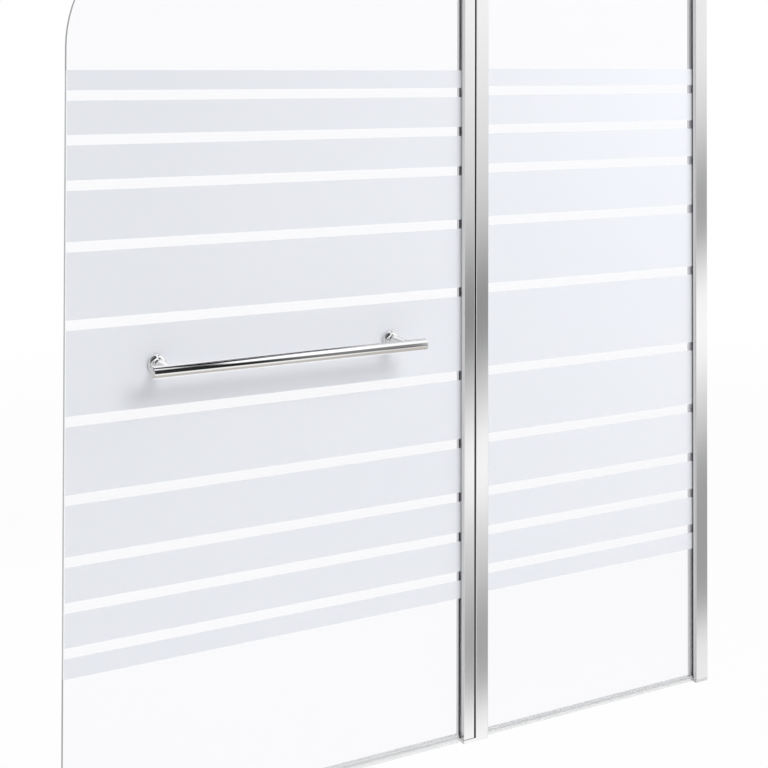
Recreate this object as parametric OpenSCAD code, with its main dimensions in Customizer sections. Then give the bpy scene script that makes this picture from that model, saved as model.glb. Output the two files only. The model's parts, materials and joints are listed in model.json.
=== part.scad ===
// Two-part bath shower screen: a fixed glass beside the wall and a swing door
// hinged to it by two flush aluminium profiles, with a towel rail on the door.
// X runs along the screen, with the wall at x = 0 and the glass on the minus side.
// Y is the depth: the room and the towel rail are on the minus side, the bath on the plus side.
// Z is up, and z = 0 is half way up the wall profile, at its middle screw hole.

/* [Screen] */
// Overall height, from the foot of the lower pivot bracket to the top of the upper one
screen_h = 1400; // [1200:10:1600]
// Width of the fixed part, from the wall to the middle of the hinge gap
fixed_w = 525; // [350:5:700]
// Width of the swing door, from the middle of the hinge gap to its free edge
door_w = 725; // [600:5:900]
// Thickness of the toughened glass
glass_t = 6; // [5:0.5:8]
// Radius of the door's upper outer corner
corner_r = 200; // [60:5:300]
// Bevel ground on the open edges of the glass
glass_bevel = 0.6; // [0.2:0.1:1]
// Height of the door glass's lower edge above the foot
door_glass_lift = 7.5; // [7:0.5:14]

/* [Aluminium profiles] */
// Depth of the profiles from front face to back face
profile_d = 25; // [23:0.5:30]
// Wall thickness of the profiles
profile_wall = 1.6; // [1.3:0.1:1.9]
// Radius of the profiles' outside edges
profile_edge_r = 1; // [0.6:0.1:2.4]
// Width of the door's hinge profile
door_profile_w = 21.5; // [20:0.5:28]
// Width of the fixed part's hinge profile
fixed_profile_w = 25.5; // [25:0.5:34]
// Gap between the two hinge profiles
hinge_gap = 3; // [2:0.1:3.5]
// How far each glass reaches into its hinge profile
glass_grip = 11; // [9.5:0.5:12]
// Gap between the edge of a glass and the floor of its slot
glass_end_gap = 1; // [0.5:0.1:2]
// Gap that a slot's lips leave on each side of the glass
lip_gap = 2.2; // [1.6:0.1:3]
// Thickness of a slot's lips
lip_t = 1.2; // [0.8:0.1:1.6]

/* [Wall fixing] */
// Width of the wall profile
wall_profile_w = 27.5; // [24:0.5:34]
// Thickness of the wall profile's web against the wall
wall_web_t = 2; // [1.6:0.1:3]
// Adjustment left between the wall profile's web and the glass channel
adjust_room = 10; // [6:0.5:10]
// How far the glass channel stands out of the wall profile
channel_reach = 1; // [0.5:0.5:8]
// Slide clearance on each side of the glass channel
slide_gap = 0.15; // [0.05:0.05:0.3]
// Distance of the outer wall screw holes from the middle one
wall_hole_pitch = 550; // [400:10:580]
// Radius of the wall screw holes
wall_hole_r = 2.75; // [2.2:0.05:3.2]
// Distance of the outer adjusting screws from the middle one
adjust_screw_pitch = 480; // [300:10:520]
// Radius of an adjusting screw's shank
adjust_screw_r = 1.6; // [1.4:0.05:1.9]
// Radius of an adjusting screw's head
adjust_head_r = 3.5; // [3:0.1:3.8]
// Height of an adjusting screw's head
adjust_head_h = 2.3; // [1.6:0.1:2.6]
// Wall thickness of a screw's cover cap
cover_wall = 0.9; // [0.6:0.1:1.2]

/* [Gaskets and seals] */
// Setback of the glazing gaskets from the mouth of a slot
gasket_setback = 0.4; // [0:0.1:1]
// Clearance between the gaskets and a slot's lips
gasket_gap = 0.3; // [0.1:0.1:0.6]
// Length of the gaskets behind the lips
gasket_len = 7; // [5:0.5:7.5]
// Radius of the hollow in a gasket
gasket_hollow_r = 1.8; // [0.6:0.1:2]
// Wall of the push-on grip of a bottom seal
seal_wall = 1.2; // [0.8:0.1:1.6]
// Height of the door seal's grip above the lower edge of its glass
door_seal_grip = 6; // [4:0.5:14]
// Height of the fixed seal's grip above the lower edge of its glass
fixed_seal_grip = 4.5; // [3:0.5:14]
// Floor of the grip below the glass
seal_floor = 2.2; // [1.5:0.1:2.6]
// Reach of the drip lip towards the bath
drip_reach = 6; // [4:0.5:9]
// Reach of the drip lip below the grip
drip_drop = 3; // [1:0.1:3.4]
// Thickness of the fin that stands on the rim
fin_t = 1.2; // [0.8:0.1:1.6]
// Setback of the fin from the front of the grip
fin_inset = 0.9; // [0.4:0.1:1.4]
// Gap between the fixed seal's ends and the profiles
seal_end_gap = 0.8; // [0.3:0.1:3]
// Gap between the door seal's end and the door's profile
door_seal_gap = 5; // [2:0.5:10]
// Gap between a fin and the foot
fin_gap = 0.3; // [0:0.1:1]

/* [Hinge] */
// Distance of the hinge axis in front of the profiles' back faces
axis_inset = 3; // [2.5:0.1:3.5]
// Radius of the hinge barrel on the door's profile
barrel_r = 6.5; // [6:0.1:7]
// Gap between the barrel and the round seat in the fixed profile
barrel_gap = 0.5; // [0.3:0.1:0.8]
// Distance of the profiles' back corners from the hinge axis, along the screen
corner_reach = 8; // [7.8:0.1:8.6]
// Radius of the bushes inside the barrel
bush_r = 4; // [3.7:0.1:4.4]
// Length of a bush inside the barrel
bush_len = 18; // [12:1:30]
// Thickness of a bush's flange, which carries the door
flange_t = 1; // [0.8:0.1:2]
// Radius of a bush's flange
flange_r = 6; // [5.2:0.1:6]
// Radius of the hinge pins
pin_r = 3; // [2.5:0.1:3.2]
// Running clearance between a pin and its bush
pin_gap = 0.05; // [0.02:0.01:0.09]
// Reach of a pin above its bracket
pin_reach = 17; // [11:1:19]
// Radius of a pin's head
pin_head_r = 4.6; // [4:0.1:5]
// Thickness of a pin's head
pin_head_t = 1.2; // [0.8:0.1:1.6]
// Thickness of the pivot brackets and of the end caps
bracket_t = 6; // [5:0.1:7]
// Radius of a screw port in the fixed profile
port_r = 3.2; // [2.9:0.1:3.3]
// Radius of the bracket screws
bracket_screw_r = 1.6; // [1.4:0.05:1.7]
// Length of the bracket screws inside their ports
bracket_screw_len = 16; // [10:1:25]
// Radius of a bracket screw's countersunk head
bracket_head_r = 3.3; // [2.8:0.1:3.4]
// Distance of the gap strip's middle from the profiles' front faces
strip_inset = 4.2; // [4:0.1:5]
// Width of the strip's head
strip_w = 4.8; // [4:0.1:4.8]
// Width of the strip's neck
strip_neck_w = 1.8; // [1.4:0.1:2.2]
// Width of the strip's foot in its groove
strip_foot_w = 3.4; // [3:0.1:3.6]
// Thickness of the strip's foot
strip_foot_t = 1.2; // [0.8:0.1:1.4]
// Thickness of the groove's lips
strip_lip_t = 0.9; // [0.7:0.1:1.2]
// Clearance between the strip and the door's profile
strip_gap = 0.3; // [0.2:0.05:0.5]

/* [Towel rail] */
// Length of the bar, without its plugs
bar_len = 474; // [300:2:560]
// Radius of the bar
bar_r = 9.5; // [8:0.25:11]
// Wall thickness of the bar
bar_wall = 1.2; // [0.8:0.1:2]
// Distance of the bar's middle from the middle of the glass
bar_standoff = 67; // [55:1:90]
// Distance of the rail's middle from the free edge of the door
rail_inset = 353; // [300:1:400]
// Height of the rail above the middle of the screen
rail_z = 5; // [-200:1:200]
// Distance of each rail post from its end of the bar
post_inset = 29.5; // [18:0.5:60]
// Radius of a post at the bar
post_r = 7.5; // [6:0.1:8]
// Radius of a post at the glass
post_foot_r = 8.5; // [8:0.1:9]
// Radius of a rosette
rosette_r = 14.5; // [12:0.5:18]
// Height of a rosette above its washer
rosette_h = 9; // [6:0.5:14]
// Radius of the holes drilled in the glass
glass_hole_r = 6; // [5:0.25:7]
// Radius of the clamping bolts
bolt_r = 3; // [2.5:0.25:4]
// Reach of the clamping bolts into the posts
bolt_reach = 12; // [8:0.5:20]
// Thickness of the soft washers on the glass
washer_t = 1; // [0.6:0.1:2]
// Thickness of the clamping disc on the bath side
disc_t = 5; // [4.5:0.5:8]
// Radius of the grub screws that lock the bar
grub_r = 1.5; // [1.25:0.25:2]

/* [Hidden] */
$fn = 64;
// Overlap that makes a cut pass clean through a face
cut = 1;
// Fit between a piece and the hole that it is pressed or pushed into
seat_gap = 0.02;
// Clearance round a screw or bolt in a plain hole
hole_gap = 0.2;

// Heights
z_foot = -screen_h / 2;
z_head = screen_h / 2;
profile_z0 = z_foot + bracket_t;
profile_z1 = z_head - bracket_t;
door_z0 = profile_z0 + flange_t;
door_z1 = profile_z1 - flange_t;
door_glass_z0 = z_foot + door_glass_lift;

// Depths, measured from the middle of the glass
half_d = profile_d / 2;
half_in = half_d - profile_wall;
half_glass = glass_t / 2;
half_lip = half_glass + lip_gap;
axis_y = half_d - axis_inset;

// Fixed hinge profile, from the gap to its mouth
axis_x = -fixed_w;
fixed_face_x = axis_x + hinge_gap / 2;
fixed_mouth_x = fixed_face_x + fixed_profile_w;
fixed_glass_x0 = fixed_mouth_x - glass_grip;
fixed_floor_x = fixed_glass_x0 - glass_end_gap;
fixed_room_x0 = fixed_face_x + profile_wall;
fixed_room_x1 = fixed_floor_x - profile_wall;

// Door hinge profile, from the gap to its mouth
door_edge_x = -fixed_w - door_w;
door_face_x = axis_x - hinge_gap / 2;
door_mouth_x = door_face_x - door_profile_w;
door_glass_x1 = door_mouth_x + glass_grip;
door_floor_x = door_glass_x1 + glass_end_gap;
door_room_x0 = door_floor_x + profile_wall;
door_room_x1 = door_face_x - profile_wall;

// Glass channel inside the wall profile
channel_half_d = half_in - slide_gap;
channel_half_in = channel_half_d - profile_wall;
channel_back_x = -wall_web_t - adjust_room;
channel_floor_x = channel_back_x - profile_wall;
channel_mouth_x = -wall_profile_w - channel_reach;
fixed_glass_x1 = channel_floor_x - glass_end_gap;
gasket_end = lip_t + gasket_gap + gasket_len;
adjust_screw_x = (channel_mouth_x + gasket_end + channel_floor_x) / 2;
adjust_screw_z = [-adjust_screw_pitch, 0, adjust_screw_pitch];
wall_hole_z = [-wall_hole_pitch, 0, wall_hole_pitch];

// Hinge
seat_r = barrel_r + barrel_gap;
bush_bore_r = pin_r + pin_gap;
// How far a screw port sinks into the wall that carries it
port_bite = 0.6;
port_bore_r = bracket_screw_r + 0.05;
port_front = [(fixed_room_x0 + fixed_room_x1) / 2, port_r - port_bite - half_in];
// Gap between the rear screw port and the back wall
port_back_gap = 4.2;
port_rear = [fixed_room_x1 - port_r + port_bite, half_in - port_back_gap - port_r];
strip_y = strip_inset - half_d;
strip_groove_w = strip_foot_w + 0.2;
strip_groove_x1 = fixed_face_x + strip_lip_t + strip_foot_t + 0.1;

// Towel rail
rail_x = door_edge_x + rail_inset;
post_x = [rail_x - bar_len / 2 + post_inset, rail_x + bar_len / 2 - post_inset];
bar_y = -bar_standoff;
front_seat_y = -half_glass - washer_t;
back_seat_y = half_glass + washer_t;
washer_r = rosette_r - 2;

// A rectangle from x0 to x1, reaching half to each side of its middle, with round corners.
module rounded_2d(x0, x1, half, r, middle = 0) {
    translate([x0 + r, middle - half]) square([x1 - x0 - 2 * r, 2 * half]);
    translate([x0, middle + r - half]) square([x1 - x0, 2 * (half - r)]);
    for (x = [x0 + r, x1 - r])
        for (y = [r - half, half - r])
            translate([x, middle + y]) circle(r);
}

// The slot for a glass: open at its mouth, with two lips that hold the gaskets.
module glass_slot_2d(mouth, floor_x, half) {
    side = sign(floor_x - mouth);
    lip_x = mouth + side * lip_t;
    translate([min(lip_x, floor_x), -half]) square([abs(floor_x - lip_x), 2 * half]);
    translate([min(mouth - side * cut, lip_x), -half_lip])
        square([lip_t + cut, 2 * half_lip]);
}

// One glazing gasket, on the back side of the glass: a hollow body behind the slot's lip
// and a tongue that shows between the lip and the glass.
module gasket_2d(mouth, side, half) {
    start = lip_t + gasket_gap;
    tongue_y = half_lip - gasket_gap;
    nose_len = 1.6;
    difference() {
        polygon([
            [mouth + side * gasket_setback, half_glass],
            [mouth + side * gasket_setback, tongue_y],
            [mouth + side * start, tongue_y],
            [mouth + side * (start + nose_len), half],
            [mouth + side * gasket_end, half],
            [mouth + side * gasket_end, half_glass]
        ]);
        translate([mouth + side * (start + gasket_end) / 2, (half + half_glass) / 2])
            circle(gasket_hollow_r, $fn = 32);
    }
}

module along_z(z0, z1) {
    translate([0, 0, z0]) linear_extrude(z1 - z0) children();
}

// Turns a shape drawn round Z so that its axis points to the room, along minus Y.
module facing_room(x, y, z) {
    translate([x, y, z]) rotate([90, 0, 0]) children();
}

// Wall side
module wall_profile_2d() {
    difference() {
        rounded_2d(-wall_profile_w, 0, half_d, profile_edge_r / 2);
        translate([-wall_profile_w - cut, -half_in])
            square([wall_profile_w - wall_web_t + cut, 2 * half_in]);
    }
}

module wall_profile() {
    color("lightgray") difference() {
        along_z(profile_z0, profile_z1) wall_profile_2d();
        for (z = wall_hole_z)
            translate([-wall_web_t - cut, 0, z]) rotate([0, 90, 0])
                cylinder(h = wall_web_t + 2 * cut, r = wall_hole_r);
        for (z = adjust_screw_z)
            facing_room(adjust_screw_x, half_d + cut, z)
                cylinder(h = profile_wall + 2 * cut, r = adjust_screw_r + hole_gap, $fn = 32);
    }
}

module glass_channel_2d() {
    difference() {
        rounded_2d(channel_mouth_x, channel_back_x, channel_half_d, profile_edge_r / 3);
        glass_slot_2d(channel_mouth_x, channel_floor_x, channel_half_in);
    }
}

module glass_channel() {
    color("gainsboro") difference() {
        along_z(profile_z0, profile_z1) glass_channel_2d();
        for (z = adjust_screw_z)
            facing_room(adjust_screw_x, channel_half_d + cut, z)
                cylinder(h = profile_wall + 2 * cut, r = adjust_screw_r + seat_gap, $fn = 32);
    }
}

// A cap over the end of the wall profile and the channel, with a spigot behind the channel.
module wall_cap() {
    spigot_gap = 1.5;
    spigot_len = 12;
    along_z(-bracket_t, 0) rounded_2d(channel_mouth_x, 0, half_d, profile_edge_r / 2);
    along_z(-cut, spigot_len) translate([channel_back_x + spigot_gap, spigot_gap - half_in])
        square([adjust_room - 2 * spigot_gap, 2 * (half_in - spigot_gap)]);
}

module wall_cap_bottom() {
    color("silver") translate([0, 0, profile_z0]) wall_cap();
}

module wall_cap_top() {
    color("silver") translate([0, 0, profile_z1]) mirror([0, 0, 1]) wall_cap();
}

module adjust_screws() {
    shank_past = 2;
    shank = half_d - channel_half_in + shank_past;
    socket_depth = adjust_head_h * 0.55;
    socket_r = adjust_head_r * 0.45;
    color("silver") for (z = adjust_screw_z)
        facing_room(adjust_screw_x, half_d, z) difference() {
            union() {
                cylinder(h = shank, r = adjust_screw_r, $fn = 32);
                translate([0, 0, -adjust_head_h]) cylinder(h = adjust_head_h, r = adjust_head_r);
            }
            translate([0, 0, -adjust_head_h - cut])
                cylinder(h = cut + socket_depth, r = socket_r, $fn = 6);
        }
}

module screw_covers() {
    snap_gap = 0.1;
    inner_r = adjust_head_r + snap_gap;
    inner_h = adjust_head_h + snap_gap;
    outer_r = inner_r + cover_wall;
    outer_h = inner_h + cover_wall;
    edge = cover_wall;
    color("silver") for (z = adjust_screw_z)
        facing_room(adjust_screw_x, half_d, z) mirror([0, 0, 1]) rotate_extrude() difference() {
            union() {
                square([outer_r, outer_h - edge]);
                square([outer_r - edge, outer_h]);
                translate([outer_r - edge, outer_h - edge]) circle(edge, $fn = 32);
            }
            translate([-cut, -cut]) square([inner_r + cut, inner_h + cut]);
            translate([-2 * outer_r, -cut]) square([2 * outer_r, 2 * outer_h + cut]);
        }
}

module wall_gasket() {
    gasket_2d(channel_mouth_x, 1, channel_half_in);
}

module wall_gasket_back() {
    color("dimgray") along_z(profile_z0, profile_z1) wall_gasket();
}

module wall_gasket_front() {
    color("lightgray") along_z(profile_z0, profile_z1) mirror([0, 1]) wall_gasket();
}

// A plate in the XZ plane with bevelled long edges, drawn as its section and pulled along Z.
module plate_section_2d(x0, x1, bevel0, bevel1) {
    polygon([
        [x0 + bevel0, -half_glass], [x1 - bevel1, -half_glass],
        [x1, bevel1 - half_glass], [x1, half_glass - bevel1],
        [x1 - bevel1, half_glass], [x0 + bevel0, half_glass],
        [x0, half_glass - bevel0], [x0, bevel0 - half_glass]
    ]);
}

// The same plate pulled along X, for the bevel on the top edge.
module plate_along_x(x0, x1, z0, z1) {
    translate([x0, 0, 0]) rotate([90, 0, 90]) linear_extrude(x1 - x0) rotate(90)
        plate_section_2d(z0, z1, 0, glass_bevel);
}

module fixed_glass() {
    color("lightcyan", 0.5) plate_along_x(fixed_glass_x0, fixed_glass_x1, profile_z0, profile_z1);
}

// The rounded corner of the door glass, turned about the corner's centre.
module glass_corner(x, z) {
    facing_room(x, 0, z) rotate(90) rotate_extrude(angle = 90, $fn = 256) polygon([
        [0, -half_glass], [corner_r - glass_bevel, -half_glass],
        [corner_r, glass_bevel - half_glass], [corner_r, half_glass - glass_bevel],
        [corner_r - glass_bevel, half_glass], [0, half_glass]
    ]);
}

module door_glass() {
    corner_x = door_edge_x + corner_r;
    corner_z = door_z1 - corner_r;
    color("lightcyan", 0.5) difference() {
        union() {
            glass_corner(corner_x, corner_z);
            plate_along_x(corner_x, door_glass_x1, corner_z - cut, door_z1);
            along_z(door_glass_z0, corner_z)
                plate_section_2d(door_edge_x, door_glass_x1, glass_bevel, 0);
        }
        for (x = post_x)
            facing_room(x, half_glass + cut, rail_z)
                cylinder(h = glass_t + 2 * cut, r = glass_hole_r);
    }
}

// Bottom seal: a clip over the edge of the glass, a fin down to the rim on the room side
// and a drip lip towards the bath.
module seal_2d(edge_z, grip) {
    half = half_glass + seal_wall;
    floor_z = edge_z - seal_floor;
    fin_y = fin_inset - half;
    lip_y = half + drip_reach;
    lip_end = 0.8;
    polygon([
        [-half, floor_z], [fin_y, floor_z], [fin_y, z_foot + fin_gap],
        [fin_y + fin_t, z_foot + fin_gap], [fin_y + fin_t, floor_z],
        [half_glass, floor_z], [lip_y - lip_end, floor_z - drip_drop],
        [lip_y, floor_z - drip_drop + lip_end], [half, floor_z + lip_end],
        [half, edge_z + grip], [half_glass, edge_z + grip], [half_glass, edge_z],
        [-half_glass, edge_z], [-half_glass, edge_z + grip], [-half, edge_z + grip]
    ]);
}

module bottom_seal(x0, x1, edge_z, grip) {
    translate([x0, 0, 0]) rotate([90, 0, 90]) linear_extrude(x1 - x0) seal_2d(edge_z, grip);
}

module fixed_bottom_seal() {
    x0 = fixed_mouth_x + seal_end_gap;
    x1 = channel_mouth_x - seal_end_gap;
    color("whitesmoke", 0.6) bottom_seal(x0, x1, profile_z0, fixed_seal_grip);
}

module door_bottom_seal() {
    x0 = door_edge_x + glass_bevel;
    x1 = door_mouth_x - door_seal_gap;
    color("whitesmoke", 0.6) bottom_seal(x0, x1, door_glass_z0, door_seal_grip);
}

// Post between the two glasses

// Everything behind the line from the hinge axis through a back corner, on one side.
module back_corner_cut_2d(side) {
    polygon([
        [axis_x, axis_y], [axis_x + side * corner_reach, half_d],
        [axis_x + side * corner_reach, half_d + cut], [axis_x - side * corner_reach, half_d + cut]
    ]);
}

module fixed_hinge_profile_2d() {
    difference() {
        rounded_2d(fixed_face_x, fixed_mouth_x, half_d, profile_edge_r);
        glass_slot_2d(fixed_mouth_x, fixed_floor_x, half_in);
        translate([axis_x, axis_y]) circle(seat_r);
        back_corner_cut_2d(1);
        difference() {
            translate([fixed_room_x0, -half_in])
                square([fixed_room_x1 - fixed_room_x0, 2 * half_in]);
            translate([axis_x, axis_y]) circle(seat_r + profile_wall);
            translate(port_front) circle(port_r);
            translate(port_rear) circle(port_r);
            translate([fixed_face_x, -half_d])
                square([port_front[0] - fixed_face_x, strip_inset + strip_groove_w / 2 + 0.8]);
        }
        translate(port_front) circle(port_bore_r, $fn = 32);
        translate(port_rear) circle(port_bore_r, $fn = 32);
        strip_groove_2d();
    }
}

// The groove for the gap strip, narrow at the profile's face and wide behind it.
module strip_groove_2d() {
    neck_w = strip_neck_w + 0.1;
    translate([fixed_face_x - cut, strip_y - neck_w / 2]) square([strip_lip_t + 2 * cut, neck_w]);
    translate([fixed_face_x + strip_lip_t, strip_y - strip_groove_w / 2])
        square([strip_groove_x1 - fixed_face_x - strip_lip_t, strip_groove_w]);
}

module fixed_hinge_profile() {
    color("lightgray") along_z(profile_z0, profile_z1) fixed_hinge_profile_2d();
}

// The black strip that closes the gap: a round-nosed head, a neck through the lips and a foot.
module gap_strip_2d() {
    head_x0 = fixed_face_x - hinge_gap + strip_gap;
    foot_x0 = fixed_face_x + strip_lip_t + 0.05;
    nose_r = 0.8;
    difference() {
        rounded_2d(head_x0, fixed_face_x + nose_r, strip_w / 2, nose_r, strip_y);
        translate([fixed_face_x, strip_y - strip_w]) square([2 * nose_r, 2 * strip_w]);
    }
    translate([fixed_face_x - nose_r, strip_y - strip_neck_w / 2])
        square([foot_x0 - fixed_face_x + nose_r + strip_foot_t / 2, strip_neck_w]);
    translate([foot_x0, strip_y - strip_foot_w / 2]) square([strip_foot_t, strip_foot_w]);
}

module gap_strip() {
    color("black") along_z(profile_z0, profile_z1) gap_strip_2d();
}

module door_hinge_profile_2d() {
    // The back wall of the chamber is a little thicker, beside the cut corner
    back_extra = 0.4;
    difference() {
        union() {
            difference() {
                rounded_2d(door_mouth_x, door_face_x, half_d, profile_edge_r);
                back_corner_cut_2d(-1);
            }
            translate([axis_x, axis_y]) circle(barrel_r);
        }
        glass_slot_2d(door_mouth_x, door_floor_x, half_in);
        difference() {
            translate([door_room_x0, -half_in])
                square([door_room_x1 - door_room_x0, 2 * half_in - back_extra]);
            translate([axis_x, axis_y]) circle(barrel_r);
        }
        translate([axis_x, axis_y]) circle(bush_r + seat_gap);
    }
}

module door_hinge_profile() {
    color("lightgray") along_z(door_z0, door_z1) door_hinge_profile_2d();
}

module post_gasket() {
    gasket_2d(fixed_mouth_x, -1, half_in);
}

module post_gasket_back() {
    color("dimgray") along_z(profile_z0, profile_z1) post_gasket();
}

module post_gasket_front() {
    color("lightgray") along_z(profile_z0, profile_z1) mirror([0, 1]) post_gasket();
}

module door_gasket() {
    gasket_2d(door_mouth_x, 1, half_in);
}

module door_gasket_back() {
    color("dimgray") along_z(door_z0, door_z1) door_gasket();
}

module door_gasket_front() {
    color("lightgray") along_z(door_z0, door_z1) mirror([0, 1]) door_gasket();
}

// The cut for a countersunk head: a cone at 45 degrees that opens at the face z = 0.
module countersink(sink_r, hole_r) {
    translate([0, 0, -seat_gap])
        cylinder(h = sink_r - hole_r + seat_gap, r1 = sink_r + seat_gap, r2 = hole_r);
}

// Pivot bracket: a plate under both hinge profiles, screwed to the fixed one.
module pivot_bracket() {
    hole_r = bracket_screw_r + hole_gap;
    sink_r = bracket_head_r + hole_gap;
    difference() {
        along_z(-bracket_t, 0) difference() {
            union() {
                rounded_2d(door_mouth_x, fixed_mouth_x, half_d, profile_edge_r);
                translate([axis_x, axis_y]) circle(barrel_r);
            }
            translate([axis_x, axis_y]) circle(pin_r + seat_gap);
            translate(port_front) circle(hole_r, $fn = 32);
            translate(port_rear) circle(hole_r, $fn = 32);
        }
        translate([axis_x, axis_y, -bracket_t - cut])
            cylinder(h = pin_head_t + cut, r = pin_head_r + seat_gap);
        for (p = [port_front, port_rear])
            translate([p[0], p[1], -bracket_t]) countersink(sink_r, hole_r);
    }
}

module pivot_bracket_bottom() {
    color("silver") translate([0, 0, profile_z0]) pivot_bracket();
}

module pivot_bracket_top() {
    color("silver") translate([0, 0, profile_z1]) mirror([0, 0, 1]) pivot_bracket();
}

// A countersunk screw up into its port, with a hexagon socket.
module bracket_screw() {
    sink_t = bracket_head_r - bracket_screw_r;
    socket_r = 1.2;
    socket_depth = 1.2;
    translate([0, 0, -bracket_t]) difference() {
        union() {
            cylinder(h = sink_t, r1 = bracket_head_r, r2 = bracket_screw_r, $fn = 32);
            cylinder(h = bracket_t + bracket_screw_len, r = bracket_screw_r, $fn = 32);
        }
        translate([0, 0, -cut]) cylinder(h = cut + socket_depth, r = socket_r, $fn = 6);
    }
}

module bracket_screws() {
    color("silver") for (p = [port_front, port_rear]) {
        translate([p[0], p[1], profile_z0]) bracket_screw();
        translate([p[0], p[1], profile_z1]) mirror([0, 0, 1]) bracket_screw();
    }
}

module hinge_pin() {
    edge = 0.6;
    translate([axis_x, axis_y, -bracket_t]) {
        cylinder(h = pin_head_t, r = pin_head_r);
        cylinder(h = bracket_t + pin_reach - edge, r = pin_r);
        translate([0, 0, bracket_t + pin_reach - edge])
            cylinder(h = edge, r1 = pin_r, r2 = pin_r - edge);
    }
}

module hinge_pin_bottom() {
    color("silver") translate([0, 0, profile_z0]) hinge_pin();
}

module hinge_pin_top() {
    color("silver") translate([0, 0, profile_z1]) mirror([0, 0, 1]) hinge_pin();
}

module hinge_bush() {
    translate([axis_x, axis_y, 0]) difference() {
        union() {
            cylinder(h = flange_t, r = flange_r);
            cylinder(h = flange_t + bush_len, r = bush_r);
        }
        translate([0, 0, -cut]) cylinder(h = flange_t + bush_len + 2 * cut, r = bush_bore_r);
    }
}

module hinge_bush_bottom() {
    color("white") translate([0, 0, profile_z0]) hinge_bush();
}

module hinge_bush_top() {
    color("white") translate([0, 0, profile_z1]) mirror([0, 0, 1]) hinge_bush();
}

// Towel rail

module rail_bar() {
    color("silver") difference() {
        translate([rail_x - bar_len / 2, bar_y, rail_z]) rotate([0, 90, 0]) difference() {
            cylinder(h = bar_len, r = bar_r);
            translate([0, 0, -cut]) cylinder(h = bar_len + 2 * cut, r = bar_r - bar_wall);
        }
        for (x = post_x)
            translate([x, bar_y, rail_z - bar_r - cut])
                cylinder(h = bar_r + cut, r = grub_r + seat_gap, $fn = 32);
    }
}

// A domed plug pushed into the open end of the bar.
module rail_end_plug() {
    lip = 1.6;
    edge = 1.2;
    spigot_len = 10;
    spigot_wall = 1.8;
    rotate([0, -90, 0]) {
        rotate_extrude() difference() {
            union() {
                square([bar_r, lip - edge]);
                square([bar_r - edge, lip]);
                translate([bar_r - edge, lip - edge]) circle(edge, $fn = 32);
            }
            translate([0, -2 * edge]) square([bar_r + edge, 2 * edge]);
        }
        translate([0, 0, -spigot_len]) difference() {
            cylinder(h = spigot_len, r = bar_r - bar_wall - seat_gap);
            translate([0, 0, -cut])
                cylinder(h = spigot_len, r = bar_r - bar_wall - spigot_wall);
        }
    }
}

module rail_end_plug_left() {
    color("silver") translate([rail_x - bar_len / 2, bar_y, rail_z]) rail_end_plug();
}

module rail_end_plug_right() {
    color("silver") translate([rail_x + bar_len / 2, bar_y, rail_z]) mirror([1, 0, 0])
        rail_end_plug();
}

// A turned post: straight foot under the rosette, a slim waist, and a saddle for the bar.
module rail_post(x) {
    post_len = bar_standoff + front_seat_y;
    waist_z = rosette_h + 2;
    thread_len = bolt_reach + 2;
    difference() {
        facing_room(x, front_seat_y, rail_z) difference() {
            union() {
                cylinder(h = waist_z, r = post_foot_r);
                translate([0, 0, waist_z])
                    cylinder(h = post_len - waist_z, r1 = post_foot_r, r2 = post_r);
            }
            translate([0, 0, -cut]) cylinder(h = thread_len + cut, r = bolt_r + seat_gap);
        }
        translate([x - 2 * post_r, bar_y, rail_z]) rotate([0, 90, 0])
            cylinder(h = 4 * post_r, r = bar_r + seat_gap);
    }
}

module rail_post_left() {
    color("silver") rail_post(post_x[0]);
}

module rail_post_right() {
    color("silver") rail_post(post_x[1]);
}

// A domed rosette that slips over the post's foot and covers the hole in the glass.
module rail_rosette(x) {
    rim_t = 2;
    dome_r = rosette_r - post_foot_r;
    facing_room(x, front_seat_y, rail_z) rotate_extrude() difference() {
        union() {
            square([rosette_r, rim_t]);
            intersection() {
                translate([post_foot_r, rim_t]) scale([1, (rosette_h - rim_t) / dome_r])
                    circle(dome_r);
                translate([0, rim_t]) square([rosette_r, rosette_h]);
            }
        }
        translate([-cut, -cut]) square([post_foot_r + seat_gap + cut, rosette_h + 2 * cut]);
    }
}

module rail_rosette_left() {
    color("silver") rail_rosette(post_x[0]);
}

module rail_rosette_right() {
    color("silver") rail_rosette(post_x[1]);
}

module washers(y) {
    for (x = post_x)
        facing_room(x, y, rail_z) difference() {
            cylinder(h = washer_t, r = washer_r);
            translate([0, 0, -cut]) cylinder(h = washer_t + 2 * cut, r = bolt_r + hole_gap);
        }
}

module rail_front_washers() {
    color("whitesmoke") washers(-half_glass);
}

module rail_back_washers() {
    color("whitesmoke") washers(back_seat_y);
}

module rail_glass_sleeves() {
    sleeve_gap = 0.1;
    color("white") for (x = post_x)
        facing_room(x, half_glass, rail_z) difference() {
            cylinder(h = glass_t, r = glass_hole_r - sleeve_gap);
            translate([0, 0, -cut]) cylinder(h = glass_t + 2 * cut, r = bolt_r + hole_gap);
        }
}

// A flat disc on the bath side, countersunk for the bolt's head.
module rail_clamp_discs() {
    edge = 1;
    disc_r = rosette_r;
    color("silver") for (x = post_x)
        facing_room(x, back_seat_y, rail_z) mirror([0, 0, 1]) difference() {
            union() {
                cylinder(h = disc_t - edge, r = disc_r);
                translate([0, 0, disc_t - edge]) cylinder(h = edge, r1 = disc_r, r2 = disc_r - edge);
            }
            translate([0, 0, -cut]) cylinder(h = disc_t + 2 * cut, r = bolt_r + hole_gap);
            translate([0, 0, disc_t]) mirror([0, 0, 1])
                countersink(2 * bolt_r + hole_gap, bolt_r + hole_gap);
        }
}

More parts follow.
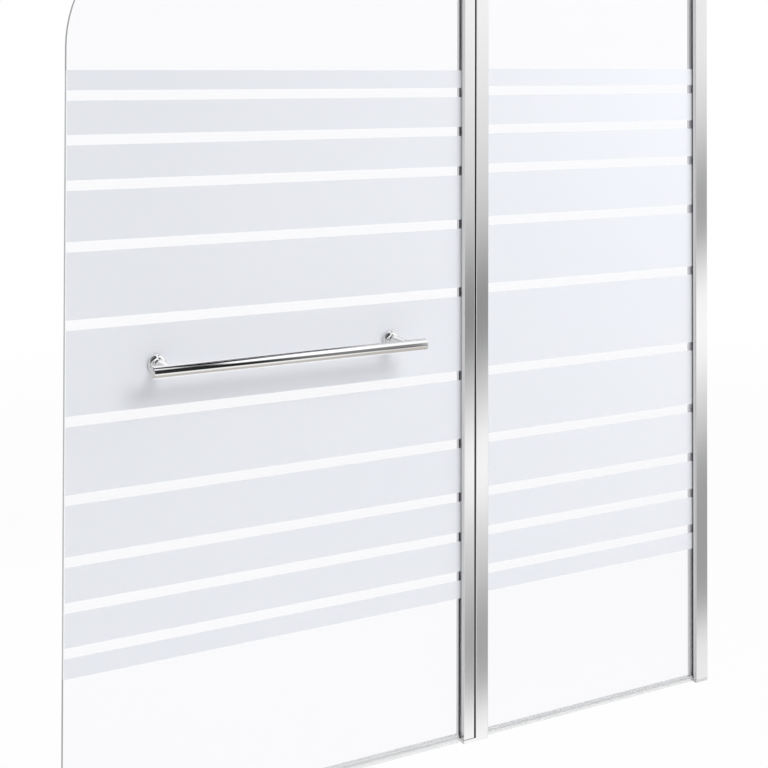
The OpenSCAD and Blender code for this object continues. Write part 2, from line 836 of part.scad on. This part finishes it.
// A countersunk bolt from the bath side, through the glass and into the post.
module rail_bolts() {
    bolt_len = disc_t + 2 * washer_t + glass_t + bolt_reach;
    socket_r = bolt_r * 0.75;
    socket_depth = 2;
    color("silver") for (x = post_x)
        facing_room(x, back_seat_y + disc_t, rail_z) difference() {
            union() {
                cylinder(h = bolt_r, r1 = 2 * bolt_r, r2 = bolt_r);
                cylinder(h = bolt_len, r = bolt_r);
            }
            translate([0, 0, -cut]) cylinder(h = cut + socket_depth, r = socket_r, $fn = 6);
        }
}

// A grub screw under the bar, at each post.
module rail_grub_screws() {
    grub_len = 5;
    socket_r = grub_r * 0.55;
    socket_depth = 1.2;
    color("dimgray") for (x = post_x)
        translate([x, bar_y, rail_z - bar_r]) difference() {
            cylinder(h = grub_len, r = grub_r, $fn = 32);
            translate([0, 0, -cut]) cylinder(h = cut + socket_depth, r = socket_r, $fn = 6);
        }
}

wall_profile();
wall_cap_top();
wall_cap_bottom();
glass_channel();
adjust_screws();
screw_covers();
wall_gasket_front();
wall_gasket_back();
fixed_glass();
fixed_bottom_seal();
fixed_hinge_profile();
post_gasket_front();
post_gasket_back();
gap_strip();
pivot_bracket_top();
pivot_bracket_bottom();
bracket_screws();
hinge_pin_top();
hinge_pin_bottom();
door_hinge_profile();
hinge_bush_top();
hinge_bush_bottom();
door_gasket_front();
door_gasket_back();
door_glass();
door_bottom_seal();
rail_bar();
rail_end_plug_left();
rail_end_plug_right();
rail_post_left();
rail_post_right();
rail_rosette_left();
rail_rosette_right();
rail_front_washers();
rail_glass_sleeves();
rail_back_washers();
rail_clamp_discs();
rail_bolts();
rail_grub_screws();
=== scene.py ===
import json
import math

import bpy
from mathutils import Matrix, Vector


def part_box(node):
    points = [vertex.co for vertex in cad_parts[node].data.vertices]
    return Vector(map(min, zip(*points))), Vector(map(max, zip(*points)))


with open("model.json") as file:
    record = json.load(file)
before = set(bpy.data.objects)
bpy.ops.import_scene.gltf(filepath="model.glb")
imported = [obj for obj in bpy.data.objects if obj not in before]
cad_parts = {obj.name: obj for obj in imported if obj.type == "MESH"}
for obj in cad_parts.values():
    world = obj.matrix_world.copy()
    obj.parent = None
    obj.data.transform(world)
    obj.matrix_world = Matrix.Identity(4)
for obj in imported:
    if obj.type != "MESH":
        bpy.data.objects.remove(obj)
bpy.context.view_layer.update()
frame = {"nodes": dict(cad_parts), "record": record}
nodes = frame["nodes"]

# The photograph's frame, and the camera that sees the screen as it does: metres and degrees
IMAGE_PX = 768
SENSOR_MM = 36
FOCAL_PX = 1462.75
OPTICAL_AXIS_PX = 46.4
CAMERA_PLACE = (-1.9063, -2.1530, 0.4632)
CAMERA_YAW = 29.24
CAMERA_PITCH = 0.825
CAMERA_ROLL = -0.12
CAMERA_REACH = 200

# The floor, in metres. Its glow turns fully white between these squares of the distance.
FLOOR_Z = -1.25
FLOOR_HALF = 60.0
FLOOR_GLOW = 0.95
FLOOR_WHITE = (4, 60)

# The soft light from all round, and the key light: how strong it is, and in degrees how high it
# stands, how far to the right, and how broad it is
SOFT_LIGHT = 0.32
KEY_STRENGTH = 1.4
KEY_HEIGHT = 38
KEY_SIDE = 16
KEY_BREADTH = 24

# The soft lamps: where they stand, what they point at, their size in metres and their watts
SOFT_LAMPS = (
    ("side_light", (1.4, -2.2, 0.4), (-0.4, 0.0, 0.0), 2.5, 12),
    ("upper_light", (0.55, -0.8, 0.95), (-0.4, 0.0, 0.4), 1.0, 4.8),
    ("low_light", (-1.4, -0.9, -0.8), (-1.1, 0.0, -0.5), 0.8, 0.6),
    ("back_light", (-0.6, 2.6, 0.9), (-0.6, 0.0, 0.0), 2.0, 28))

# The satin pattern on the glass, from its middle outwards, in metres
SATIN_BANDS = (0.0641, 0.1015, 0.0764, 0.0526, 0.0514, 0.0305)
CLEAR_STRIPE = 0.0158
DOOR_SATIN_Z = 0.0029
FIXED_SATIN_Z = 0.0059
SATIN_SETBACK = 0.002
SATIN_DEPTH = 0.0002

# The colours of the glass
SATIN_DULL = (0.80, 0.823, 0.878, 1)
SATIN_PALE = (0.83, 0.848, 0.898, 1)
CLEAR_TINT = (0.66, 0.66, 0.84, 1)
RIM_BY_CLEAR = (0.15, 0.175, 0.175, 1)
RIM_BY_SATIN = (0.50, 0.54, 0.55, 1)

# How much each part of the glass hides what is behind it. Satin lets most light through to what
# it would shade. The rim is where the glass faces sideways, up or down.
CLEAR_COVER = 0.05
GLANCE_COVER = 0.8
GLANCE_POWER = 5.0
RIM_COVER = 0.75
RIM_FACING = 0.9
SATIN_COVER = 0.9
SATIN_SHADOW_LOSS = 0.75

# The width of a gasket's black tongue, and how far its middle is from the gasket's end
TONGUE = 0.0011
TONGUE_INSET = {
    "door_gasket_back": 0.0005, "post_gasket_back": 0.0005,
    "wall_gasket_back": 0.0042, "wall_gasket_front": 0.0005}

# What polished metal mirrors depends on the x of the direction it looks in, on the rise of that
# direction above the horizon, and on its turn round the bar: 0 level into the room, 90 straight
# up, -90 straight down. Rises and turns are in degrees. A pair of numbers is a soft edge, which
# starts at the first and is full at the second.

# The folds of light and grey on the flat profiles, by their tilt: the rise less a slant along x
FOLD_SLANT = 35
FOLD_SLANT_X = 0.54
FOLDS_LOWEST = -30
FOLDS_HIGHEST = 10
FOLD_SHADES = (
    (-29.5, 0.33), (-24.0, 0.34), (-22.8, 0.37), (-21.5, 0.57), (-20.0, 0.71), (-18.8, 0.90),
    (-17.8, 1.0), (-16.4, 0.99), (-15.2, 0.76), (-13.6, 0.52), (-12.5, 0.33), (-11.6, 0.28),
    (-10.3, 0.28), (-9.0, 0.39), (-7.2, 0.57), (-5.0, 0.70), (-2.0, 0.81), (2.0, 0.92), (9.0, 1.0))

# Beside these x the profiles mirror white, and so they do at their foot, a little less at the wall
FOLDS_FROM_X = (0.47, 0.49)
FOLDS_TO_X = (0.76, 0.71)
FOOT_RISE = (-25.85, -28.4)
FOOT_SLANT = 9
FOOT_SLANT_X = 0.5
WALL_FOOT_X = (0.56, 0.61)
WALL_FOOT_DARK = 0.2

# On the wall profile the bright fold is a degree wider, and the grey above it is paler
WALL_PROFILE_X = (0.60, 0.64)
WIDER_FROM = (-18, -16)
WIDER_TO = (-12, -14)
PALER = 0.09
PALER_FROM = (-13.5, -12)
PALER_TO = (0, -4)

# The bar and its posts mirror the lines, the patch and the glint that follow beyond this x
RAIL_X = (0.30, 0.335)

# The dark line along the bar's top starts later towards both ends and ends later to the right
TOP_LINE_START = 66
TOP_LINE_LEFT_X = 0.357
TOP_LINE_LEFT_SLOPE = 600
TOP_LINE_RIGHT_X = 0.385
TOP_LINE_RIGHT_SLOPE = 560
TOP_LINE_END = 117
TOP_LINE_END_X = 0.366
TOP_LINE_END_SLOPE = 450
TOP_LINE_SOFTNESS = 6
TOP_LINE_PALER = 0.5
TOP_LINE_PALER_X = (0.445, 0.475)

# The dark band along the bar's front: its upper edge steps down, then up again to the right
FRONT_BAND_FOOT = (-24, -14)
FRONT_BAND_TOP = 50
FRONT_BAND_STEP_DOWN = 19
FRONT_BAND_STEP_DOWN_X = (0.372, 0.392)
FRONT_BAND_STEP_UP = 12
FRONT_BAND_STEP_UP_X = (0.44, 0.50)
FRONT_BAND_SOFTNESS = 8
FRONT_BAND_END_X = (0.512, 0.502)
FRONT_BAND_DARK = 0.98
FRONT_BAND_PALER = 0.2
FRONT_BAND_PALER_X = (0.40, 0.45)

# The dark patch near the bar's left end
LEFT_PATCH_DARK = 0.78
LEFT_PATCH_FROM = (25, 35)
LEFT_PATCH_TO = (88, 76)
LEFT_PATCH_FROM_X = (0.352, 0.364)
LEFT_PATCH_TO_X = (0.388, 0.376)

# The glint above the front band, which wanes to the right
GLINT = 0.22
GLINT_FROM = (36, 46)
GLINT_TO = (96, 84)
GLINT_X = (0.376, 0.39)
GLINT_WANES = 0.16
GLINT_WANES_X = (0.45, 0.50)

# The warm shade of the bar's underside, which begins lower and more sharply at its right end
UNDERSIDE_TINT = (0.54, 0.51, 0.47, 1)
UNDERSIDE_FRONT = (-24, -66)
UNDERSIDE_BACK = (-112, -90)
UNDERSIDE_RIGHT_X = (0.44, 0.47)
UNDERSIDE_RIGHT_SHIFT = (-4.5, 24)

# The dark overhead that the rosettes mirror, the shade on the lips of the profiles, and the band
# of shade that the backs of the profiles mirror
CEILING_DARK = 0.96
CEILING_RISE = (26, 42)
CEILING_X = (0.15, -0.05)
LIPS_DARK = 0.4
LIPS_X = (0.05, -0.25)
BACKS_DARK = 0.42
BACKS_RISE = -4
BACKS_REACH = (17, 5)
BACKS_Y = (0.1, 0.4)
BACKS_X = (-0.4, -0.2)


class Value:
    """A number that varies from point to point. Sums written with it add Math nodes."""

    def __init__(self, tree, socket):
        self.tree = tree
        self.socket = socket

    def math(self, operation, *numbers):
        return self.tree.node("ShaderNodeMath", {"operation": operation}, dict(enumerate(numbers)))

    def __add__(self, other):
        return self.math("ADD", self, other)

    def __radd__(self, other):
        return self.math("ADD", other, self)

    def __sub__(self, other):
        return self.math("SUBTRACT", self, other)

    def __rsub__(self, other):
        return self.math("SUBTRACT", other, self)

    def __mul__(self, other):
        return self.math("MULTIPLY", self, other)

    def __rmul__(self, other):
        return self.math("MULTIPLY", other, self)

    def __truediv__(self, other):
        return self.math("DIVIDE", self, other)

    def __lt__(self, other):
        return self.math("LESS_THAN", self, other)

    def __gt__(self, other):
        return self.math("GREATER_THAN", self, other)

    def __abs__(self):
        return self.math("ABSOLUTE", self)

    def at_least(self, other):
        return self.math("MAXIMUM", self, other)

    def near(self, middle, reach):
        return self.math("COMPARE", self, middle, reach)


class Tree:
    """A node tree of a material or of the world, emptied and ready to be filled."""

    def __init__(self, owner):
        owner.use_nodes = True
        self.owner = owner
        self.nodes = owner.node_tree.nodes
        self.links = owner.node_tree.links
        self.nodes.clear()

    def node(self, kind, settings=None, sockets=None, output=0):
        """Adds a node: its settings first, then the values or links of its sockets."""
        made = self.nodes.new(kind)
        for name, setting in (settings or {}).items():
            if name == "stops":
                set_stops(made.color_ramp, setting)
            else:
                setattr(made, name, setting)
        for name, value in (sockets or {}).items():
            if isinstance(value, Value):
                self.links.new(value.socket, made.inputs[name])
            else:
                made.inputs[name].default_value = value
        return Value(self, made.outputs[output] if made.outputs else None)

    def place(self, axis):
        """A point's x, y or z in the part's frame, in metres, wherever the door has swung."""
        spot = self.node("ShaderNodeTexCoord", output="Object")
        return self.node("ShaderNodeSeparateXYZ", {}, {0: spot}, output=axis)

    def facing(self, axis):
        """How far a surface faces along an axis of the part's frame, from -1 to 1."""
        normal = self.node("ShaderNodeTexCoord", output="Normal")
        return self.node("ShaderNodeSeparateXYZ", {}, {0: normal}, output=axis)

    def ray(self, kind):
        """1 for rays of a kind, such as Camera or Glossy, and 0 for all others."""
        return self.node("ShaderNodeLightPath", output="Is " + kind + " Ray")

    def grain(self, size, stretch=(1, 1, 1), detail=2.0):
        """Noise from 0 to 1 whose spots are about size metres, longer where stretch is above 1."""
        spot = self.node("ShaderNodeTexCoord", output="Object")
        scale = tuple(1 / (size * along) for along in stretch)
        spot = self.node("ShaderNodeMapping", {}, {"Vector": spot, "Scale": scale})
        return self.node("ShaderNodeTexNoise", {}, {"Vector": spot, "Scale": 1.0, "Detail": detail})

    def fade(self, value, start, end):
        """0 where the value is at start, 1 where it is at end, and a soft change between."""
        sockets = {"Value": value, "From Min": start, "From Max": end}
        return self.node("ShaderNodeMapRange", {"interpolation_type": "SMOOTHSTEP"}, sockets)

    def between(self, value, first, last):
        """1 between two soft edges and 0 outside them."""
        return self.fade(value, *first) * self.fade(value, *last)

    def blend(self, amount, first, second):
        """The first colour where the amount is 0, the second where it is 1."""
        sockets = {"Factor": amount, 6: first, 7: second}
        return self.node("ShaderNodeMix", {"data_type": "RGBA"}, sockets, output=2)

    def bumps(self, height, depth):
        """A normal for a relief of that depth, in metres."""
        sockets = {"Height": height, "Distance": depth, "Strength": 1.0}
        return self.node("ShaderNodeBump", {}, sockets)

    def surface(self, **sockets):
        """The material's one Principled surface. Socket names have _ for a space."""
        named = {name.replace("_", " "): value for name, value in sockets.items()}
        shader = self.node("ShaderNodeBsdfPrincipled", {}, named)
        self.node("ShaderNodeOutputMaterial", {}, {"Surface": shader})
        return self.owner


def set_stops(ramp, stops):
    while len(ramp.elements) > 1:
        ramp.elements.remove(ramp.elements[-1])
    for number, (position, colour) in enumerate(stops):
        stop = ramp.elements[0] if number == 0 else ramp.elements.new(position)
        stop.position = position
        stop.color = colour


def grey(level):
    return (level, level, level, 1.0)


# Finishes

def polished_profile():
    """Bright aluminium, with the faint drawn lines of an extrusion along its length."""
    tree = Tree(bpy.data.materials.new("polished_profile"))
    lines = tree.grain(size=0.0012, stretch=(1, 1, 400))
    clouds = tree.grain(size=0.08, stretch=(1, 1, 3))
    colour = tree.blend(lines, (0.93, 0.93, 0.935, 1), (0.98, 0.98, 0.985, 1))
    return tree.surface(
        Base_Color=colour, Metallic=1.0, Roughness=0.055 + 0.03 * clouds + 0.015 * lines,
        Normal=tree.bumps(lines, depth=0.000004))


def polished_rail():
    """Bright chrome, a little softer where it has been wiped."""
    tree = Tree(bpy.data.materials.new("polished_rail"))
    wiped = tree.grain(size=0.03, stretch=(5, 1, 1))
    colour = tree.blend(wiped, (0.92, 0.92, 0.92, 1), (0.97, 0.97, 0.975, 1))
    return tree.surface(Base_Color=colour, Metallic=1.0, Roughness=0.03 + 0.05 * wiped)


def turned_steel(name, level):
    """Stainless steel with fine lathe rings."""
    tree = Tree(bpy.data.materials.new(name))
    rings = tree.grain(size=0.0004, detail=1.0)
    colour = tree.blend(rings, grey(level * 0.9), grey(level))
    return tree.surface(
        Base_Color=colour, Metallic=1.0, Roughness=0.24 + 0.1 * rings,
        Normal=tree.bumps(rings, depth=0.00001))


def moulded_plastic(name, dark, light, roughness):
    """Moulded plastic with a fine sparked grain."""
    tree = Tree(bpy.data.materials.new(name))
    spark = tree.grain(size=0.0006, detail=3.0)
    clouds = tree.grain(size=0.02)
    return tree.surface(
        Base_Color=tree.blend(clouds, dark, light), Roughness=roughness + 0.1 * spark,
        Normal=tree.bumps(spark, depth=0.00001))


def streaked_rubber(tree, colour):
    """Extruded rubber with dull streaks along its length."""
    streaks = tree.grain(size=0.001, stretch=(1, 1, 60))
    return tree.surface(
        Base_Color=colour, Roughness=0.55 + 0.15 * streaks, Specular_IOR_Level=0.15,
        Normal=tree.bumps(streaks, depth=0.00002))


def plain_rubber(name, dark, light):
    """Rubber of one colour, with a faint bloom."""
    tree = Tree(bpy.data.materials.new(name))
    bloom = tree.grain(size=0.03)
    return streaked_rubber(tree, tree.blend(bloom, dark, light))


def two_part_rubber(name, tongue_x):
    """A pale gasket with a soft black tongue along the glass, at tongue_x."""
    tree = Tree(bpy.data.materials.new(name))
    bloom = tree.grain(size=0.03)
    tongue = abs(tree.place("X") - tongue_x) < TONGUE / 2
    body = tree.blend(bloom, grey(0.78), grey(0.86))
    black = tree.blend(bloom, grey(0.006), grey(0.012))
    return streaked_rubber(tree, tree.blend(tongue, body, black))


def milky_seal(name, stretch):
    """Soft clear plastic, milky, with the faint lines of its extrusion."""
    tree = Tree(bpy.data.materials.new(name))
    lines = tree.grain(size=0.0018, stretch=stretch, detail=1.0)
    return tree.surface(
        Base_Color=tree.blend(lines, (0.86, 0.865, 0.875, 1), (0.95, 0.955, 0.96, 1)),
        Roughness=0.22 + 0.15 * lines, Alpha=0.4 + 0.22 * lines, IOR=1.5,
        Normal=tree.bumps(lines, depth=0.00005))


def striped_glass(name, satin_z, low, high):
    """Clear toughened glass whose room side has etched satin bands with clear stripes between."""
    left, right, room_face = low[0], high[0], low[1]
    tree = Tree(bpy.data.materials.new(name))

    height = abs(tree.place("Z") - satin_z)
    satin_top = sum(SATIN_BANDS) + CLEAR_STRIPE * (len(SATIN_BANDS) - 1)
    by_satin = height < satin_top
    etched = by_satin
    edge = 0
    for band in SATIN_BANDS[:-1]:
        stripe = edge + band + CLEAR_STRIPE / 2
        etched = etched * (1 - height.near(stripe, CLEAR_STRIPE / 2))
        edge += band + CLEAR_STRIPE
    across = tree.place("X")
    etched = etched * (across > left + SATIN_SETBACK) * (across < right - SATIN_SETBACK)
    etched = etched * (tree.place("Y") < room_face + SATIN_DEPTH)

    clouds = tree.grain(size=0.35)
    frost = tree.grain(size=0.0005, detail=1.0)
    rim = abs(tree.facing("Y")) < RIM_FACING
    satin = tree.blend(clouds, SATIN_DULL, SATIN_PALE)
    clear_or_rim = tree.blend(rim, CLEAR_TINT, tree.blend(by_satin, RIM_BY_CLEAR, RIM_BY_SATIN))
    colour = tree.blend(etched, clear_or_rim, satin)

    glance = tree.node("ShaderNodeLayerWeight", {}, {"Blend": 0.5}, output="Facing")
    glance = glance.math("POWER", glance, GLANCE_POWER)
    unshaded = 1 - SATIN_SHADOW_LOSS * tree.ray("Shadow")
    satin_alpha = SATIN_COVER * etched * unshaded * (1 - tree.ray("Glossy"))
    alpha = (CLEAR_COVER + GLANCE_COVER * glance).at_least(RIM_COVER * rim).at_least(satin_alpha)
    return tree.surface(
        Base_Color=colour, Roughness=0.02 + 0.5 * etched + 0.03 * clouds, Alpha=alpha, IOR=1.5,
        Normal=tree.bumps(frost * etched, depth=0.00001))


def finish_nodes():
    """Gives every CAD node its finish."""
    profile = polished_profile()
    rail = polished_rail()
    steel = turned_steel("turned_steel", level=0.68)
    seal = milky_seal("milky_seal", stretch=(60, 1, 1))
    washer = milky_seal("milky_washer", stretch=(1, 1, 1))
    silver = moulded_plastic("silver_cap", grey(0.62), (0.74, 0.74, 0.73, 1), roughness=0.28)
    white = moulded_plastic("white_plastic", grey(0.76), grey(0.84), roughness=0.4)
    finishes = {
        "profile": profile,
        "bracket": profile,
        "rail": rail,
        "end_cap": silver,
        "cover": silver,
        "front_gasket": plain_rubber("grey_rubber", grey(0.62), grey(0.72)),
        "gap_strip": plain_rubber("black_rubber", grey(0.004), grey(0.008)),
        "bottom_seal": seal,
        "washer": washer,
        "sleeve": white,
        "bush": white,
        "pin": steel,
        "screw": steel,
        "grub_screw": turned_steel("dark_steel", level=0.3),
        "fixed_glass": striped_glass("fixed_striped_glass", FIXED_SATIN_Z, *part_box("fixed_glass")),
        "door_glass": striped_glass("door_striped_glass", DOOR_SATIN_Z, *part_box("door_glass")),
    }
    for part in frame["record"]["subparts"]:
        name = part["node"]
        if name in TONGUE_INSET:
            low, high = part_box(name)
            inset = TONGUE_INSET[name]
            tongue_x = high[0] - inset if name.startswith("post") else low[0] + inset
            finish = two_part_rubber(name + "_rubber", tongue_x)
        else:
            finish = finishes[part["material_slot"]]
        for slot in nodes[name].material_slots:
            slot.material = finish


# Studio

def seen_rays(tree):
    """1 for the rays that show the background, straight or through glass."""
    return tree.ray("Camera").at_least(tree.ray("Transmission"))


def pale_floor():
    """A white floor that shows as the background and keeps a faint shadow."""
    tree = Tree(bpy.data.materials.new("pale_floor"))
    mottle = tree.grain(size=0.4)
    x, y = tree.place("X"), tree.place("Y")
    white = FLOOR_GLOW + (1 - FLOOR_GLOW) * tree.fade(x * x + y * y, *FLOOR_WHITE)
    colour = tree.blend(mottle, grey(0.92), grey(0.96))
    matt = tree.node("ShaderNodeBsdfDiffuse", {}, {"Color": colour})
    glow = tree.node("ShaderNodeEmission", {}, {"Color": grey(1.0), "Strength": 1.0})
    sockets = {0: white * seen_rays(tree), 1: matt, 2: glow}
    mixed = tree.node("ShaderNodeMixShader", {}, sockets)
    tree.node("ShaderNodeOutputMaterial", {}, {"Surface": mixed})
    return tree.owner


def make_floor():
    sides = ((-1, -1), (1, -1), (1, 1), (-1, 1))
    corners = [(FLOOR_HALF * x, FLOOR_HALF * y, FLOOR_Z) for x, y in sides]
    mesh = bpy.data.meshes.new("floor")
    mesh.from_pydata(corners, [], [(0, 1, 2, 3)])
    mesh.materials.append(pale_floor())
    floor = bpy.data.objects.new("floor", mesh)
    floor.visible_glossy = False
    bpy.context.scene.collection.objects.link(floor)


def profile_folds(tree, x, rise):
    """The slanting folds of light and grey that the flat faces of the profiles mirror."""
    wall = tree.fade(x, *WALL_PROFILE_X)
    tilt = rise - FOLD_SLANT * (x - FOLD_SLANT_X)
    tilt = tilt - wall * tree.between(tilt, WIDER_FROM, WIDER_TO)
    span = FOLDS_HIGHEST - FOLDS_LOWEST
    stops = [((angle - FOLDS_LOWEST) / span, grey(shade)) for angle, shade in FOLD_SHADES]
    position = (tilt - FOLDS_LOWEST) / span
    folds = tree.node("ShaderNodeValToRGB", {"stops": stops}, {0: position})
    folds = folds + PALER * wall * tree.between(tilt, PALER_FROM, PALER_TO)
    foot = tree.fade(rise - FOOT_SLANT * (x - FOOT_SLANT_X), *FOOT_RISE)
    foot = foot * (1 - WALL_FOOT_DARK * tree.fade(x, *WALL_FOOT_X))
    beside = 1 - tree.between(x, FOLDS_FROM_X, FOLDS_TO_X)
    return folds + foot.at_least(beside) * (1 - folds)


def bar_top_line(tree, x, turn):
    start = (
        TOP_LINE_START + TOP_LINE_RIGHT_SLOPE * (x - TOP_LINE_RIGHT_X).at_least(0)
        + TOP_LINE_LEFT_SLOPE * (TOP_LINE_LEFT_X - x).at_least(0))
    end = TOP_LINE_END + TOP_LINE_END_SLOPE * (x - TOP_LINE_END_X)
    line = tree.fade(turn - start, -TOP_LINE_SOFTNESS, TOP_LINE_SOFTNESS)
    line = line * tree.fade(turn - end, TOP_LINE_SOFTNESS, -TOP_LINE_SOFTNESS)
    return line * (1 - TOP_LINE_PALER * tree.fade(x, *TOP_LINE_PALER_X))


def bar_front_band(tree, x, turn):
    top = (
        FRONT_BAND_TOP - FRONT_BAND_STEP_DOWN * tree.fade(x, *FRONT_BAND_STEP_DOWN_X)
        + FRONT_BAND_STEP_UP * tree.fade(x, *FRONT_BAND_STEP_UP_X))
    band = tree.fade(turn, *FRONT_BAND_FOOT) * tree.fade(x, *FRONT_BAND_END_X)
    band = band * tree.fade(turn - top, FRONT_BAND_SOFTNESS, -FRONT_BAND_SOFTNESS)
    return band * (FRONT_BAND_DARK - FRONT_BAND_PALER * tree.fade(x, *FRONT_BAND_PALER_X))


def bar_left_patch(tree, x, turn):
    patch = tree.between(turn, LEFT_PATCH_FROM, LEFT_PATCH_TO)
    return LEFT_PATCH_DARK * patch * tree.between(x, LEFT_PATCH_FROM_X, LEFT_PATCH_TO_X)


def bar_glint(tree, x, turn):
    glint = tree.between(turn, GLINT_FROM, GLINT_TO) * tree.fade(x, *GLINT_X)
    return glint * (GLINT - GLINT_WANES * tree.fade(x, *GLINT_WANES_X))


def rail_shade(tree, x, turn):
    """The dark lines and the glint that the towel rail mirrors."""
    rail = tree.fade(x, *RAIL_X)
    shade = 1 + bar_glint(tree, x, turn)
    for dark in (bar_top_line, bar_front_band, bar_left_patch):
        shade = shade * (1 - rail * dark(tree, x, turn))
    return shade


def underside_tint(tree, x, turn):
    """White, and the warm shade of the bar's underside below."""
    right = tree.fade(x, *UNDERSIDE_RIGHT_X)
    front = [edge + shift * right for edge, shift in zip(UNDERSIDE_FRONT, UNDERSIDE_RIGHT_SHIFT)]
    return tree.blend(tree.between(turn, front, UNDERSIDE_BACK), grey(1.0), UNDERSIDE_TINT)


def mirrored_studio(tree):
    """How bright the studio is in each direction, as polished metal mirrors it, and its tint."""
    towards = tree.node("ShaderNodeTexCoord", output="Generated")
    x, y, z = (
        tree.node("ShaderNodeSeparateXYZ", {}, {0: towards}, output=axis) for axis in "XYZ")
    degrees = 180 / math.pi
    rise = z.math("ARCTAN2", z, abs(y)) * degrees
    turn = z.math("ARCTAN2", z, 0 - y) * degrees
    ceiling = tree.fade(rise, *CEILING_RISE) * tree.fade(x, *CEILING_X)
    backs = tree.fade(y, *BACKS_Y) * tree.fade(x, *BACKS_X)
    backs = backs * tree.fade(abs(rise - BACKS_RISE), *BACKS_REACH)
    shade = profile_folds(tree, x, rise) * rail_shade(tree, x, turn)
    shade = shade * (1 - CEILING_DARK * ceiling) * (1 - LIPS_DARK * tree.fade(x, *LIPS_X))
    shade = shade * (1 - BACKS_DARK * backs)
    return shade, underside_tint(tree, x, turn)


def make_world():
    """White air all round to the eye, an even soft light on matt things, a studio to metal."""
    world = bpy.data.worlds.new("white_air")
    bpy.context.scene.world = world
    tree = Tree(world)
    mirrored = tree.ray("Glossy")
    shade, tint = mirrored_studio(tree)
    plain = SOFT_LIGHT + (1 - SOFT_LIGHT) * seen_rays(tree)
    strength = mirrored * shade + (1 - mirrored) * plain
    colour = tree.blend(mirrored, grey(1.0), tint)
    air = tree.node("ShaderNodeBackground", {}, {"Color": colour, "Strength": strength})
    tree.node("ShaderNodeOutputWorld", {}, {"Surface": air})


def add_light(light):
    """Puts a light in the studio, where polished metal doesn't mirror it."""
    made = bpy.data.objects.new(light.name, light)
    made.visible_glossy = False
    bpy.context.scene.collection.objects.link(made)
    return made


def add_soft_lamp(name, place, target, size, watts):
    light = bpy.data.lights.new(name, "AREA")
    light.size = size
    light.energy = watts
    made = add_light(light)
    made.visible_camera = False
    made.location = place
    x, y, z = (goal - start for goal, start in zip(target, place))
    made.rotation_euler = (math.atan2(math.hypot(x, y), -z), 0, math.atan2(y, x) - math.pi / 2)


def make_lights():
    key = bpy.data.lights.new("key_light", "SUN")
    key.energy = KEY_STRENGTH
    key.angle = math.radians(KEY_BREADTH)
    made = add_light(key)
    made.rotation_euler = (math.radians(90 - KEY_HEIGHT), 0, math.radians(KEY_SIDE))
    for lamp in SOFT_LAMPS:
        add_soft_lamp(*lamp)


def make_camera():
    data = bpy.data.cameras.new("photo_camera")
    data.sensor_width = SENSOR_MM
    data.lens = FOCAL_PX / IMAGE_PX * SENSOR_MM
    data.shift_y = (OPTICAL_AXIS_PX - IMAGE_PX / 2) / IMAGE_PX
    data.clip_end = CAMERA_REACH
    camera = bpy.data.objects.new("photo_camera", data)
    camera.location = CAMERA_PLACE
    camera.rotation_euler = (
        math.radians(90 + CAMERA_PITCH), math.radians(CAMERA_ROLL), math.radians(-CAMERA_YAW))
    bpy.context.scene.collection.objects.link(camera)
    bpy.context.scene.camera = camera


finish_nodes()
make_floor()
make_world()
make_lights()
make_camera()
bpy.context.scene.view_settings.view_transform = "Standard"
